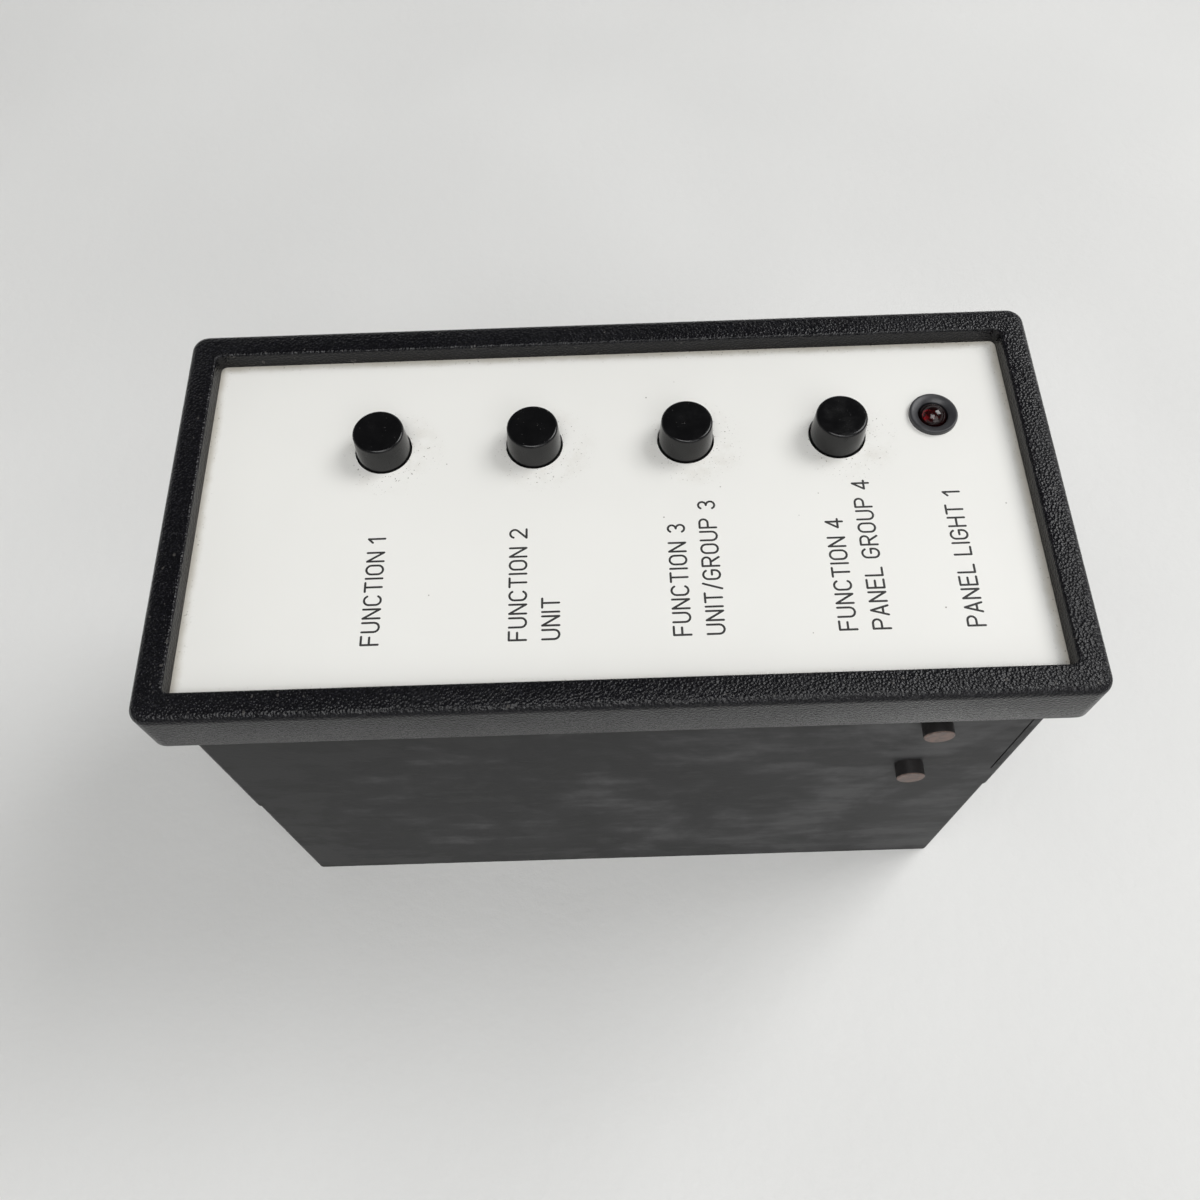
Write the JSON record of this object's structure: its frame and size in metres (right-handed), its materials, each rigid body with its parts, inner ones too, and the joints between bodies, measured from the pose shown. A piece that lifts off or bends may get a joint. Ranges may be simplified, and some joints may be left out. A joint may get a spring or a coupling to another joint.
{
  "type": "alarm push-button module",
  "caption": "Deep rectangular panel module: raised black frame round a white plate with a row of round push buttons and a red lamp, rear screw terminals.",
  "frame": {"origin": "centre of the rear rim, on the plane that the module stands on", "axes": "+Z out of the front plate, +X along the long side of the front towards the lamp, +Y from the lettering to the buttons"},
  "size_m": [0.144, 0.072, 0.0986],
  "materials": {
    "bezel_plastic": "grained satin black",
    "plate_white": "satin warm white",
    "case_plastic": "smooth satin black with cloudy wear",
    "stud_copper": "aged copper brown",
    "button_plastic": "glossy black",
    "plunger_plastic": "natural moulded",
    "contact_metal": "tinned",
    "spring_steel": "bright wire",
    "switch_plastic": "moulded black",
    "lamp_red": "deep red translucent",
    "lamp_ring": "satin dark grey",
    "circuit_board": "green lacquered laminate",
    "screw_steel": "zinc plated",
    "link_plastic": "moulded black",
    "cover_plastic": "moulded black",
    "terminal_plastic": "moulded dark grey",
    "clamp_brass": "plated brass",
    "relay_plastic": "moulded blue cover",
    "chip_plastic": "moulded black",
    "capacitor_sleeve": "shrunk blue sleeve",
    "resistor_lacquer": "beige lacquer"
  },
  "bodies": {
    "housing": {"case_shell": "case_plastic", "clamp_studs": "stud_copper", "diodes": "chip_plastic", "front_bezel": "bezel_plastic", "front_board": "circuit_board", "front_board_screws": "screw_steel", "front_link_pins": "contact_metal", "front_link_strip": "link_plastic", "front_plate": "plate_white", "lamp": "lamp_red", "lamp_holder": "lamp_ring", "lamp_leads": "contact_metal", "lamp_retainer": "lamp_ring", "lamp_spacer": "lamp_ring", "logic_chips": "chip_plastic", "main_board": "circuit_board", "rear_cover": "cover_plastic", "rear_cover_screws": "screw_steel", "rear_link_pins": "contact_metal", "rear_link_strip": "link_plastic", "regulator": "chip_plastic", "relay_alarm": "relay_plastic", "relay_horn": "relay_plastic", "resistors": "resistor_lacquer", "return_spring_1": "spring_steel", "return_spring_2": "spring_steel", "return_spring_3": "spring_steel", "return_spring_4": "spring_steel", "smoothing_capacitor": "capacitor_sleeve", "switch_base_1": "switch_plastic", "switch_base_2": "switch_plastic", "switch_base_3": "switch_plastic", "switch_base_4": "switch_plastic", "switch_housing_1": "switch_plastic", "switch_housing_2": "switch_plastic", "switch_housing_3": "switch_plastic", "switch_housing_4": "switch_plastic", "switch_pins_1": "contact_metal", "switch_pins_2": "contact_metal", "switch_pins_3": "contact_metal", "switch_pins_4": "contact_metal", "terminal_block_far": "terminal_plastic", "terminal_block_near": "terminal_plastic", "terminal_board": "circuit_board", "terminal_clamps_far": "clamp_brass", "terminal_clamps_near": "clamp_brass", "terminal_screws": "screw_steel"},
    "button_1": {"button_cap_1": "button_plastic", "plunger_1": "plunger_plastic", "contact_bridge_1": "contact_metal"},
    "button_2": {"button_cap_2": "button_plastic", "plunger_2": "plunger_plastic", "contact_bridge_2": "contact_metal"},
    "button_3": {"button_cap_3": "button_plastic", "plunger_3": "plunger_plastic", "contact_bridge_3": "contact_metal"},
    "button_4": {"button_cap_4": "button_plastic", "plunger_4": "plunger_plastic", "contact_bridge_4": "contact_metal"}
  },
  "joints": [
    {"name": "press_button_1", "type": "slide", "parent": "housing", "child": "button_1", "axis": [0, 0, -1], "range_m": [0, 0.002], "stiffness_N_per_m": 800, "deforming": ["return_spring_1"]},
    {"name": "press_button_2", "type": "slide", "parent": "housing", "child": "button_2", "axis": [0, 0, -1], "range_m": [0, 0.002], "stiffness_N_per_m": 800, "deforming": ["return_spring_2"]},
    {"name": "press_button_3", "type": "slide", "parent": "housing", "child": "button_3", "axis": [0, 0, -1], "range_m": [0, 0.002], "stiffness_N_per_m": 800, "deforming": ["return_spring_3"]},
    {"name": "press_button_4", "type": "slide", "parent": "housing", "child": "button_4", "axis": [0, 0, -1], "range_m": [0, 0.002], "stiffness_N_per_m": 800, "deforming": ["return_spring_4"]}
  ]
}
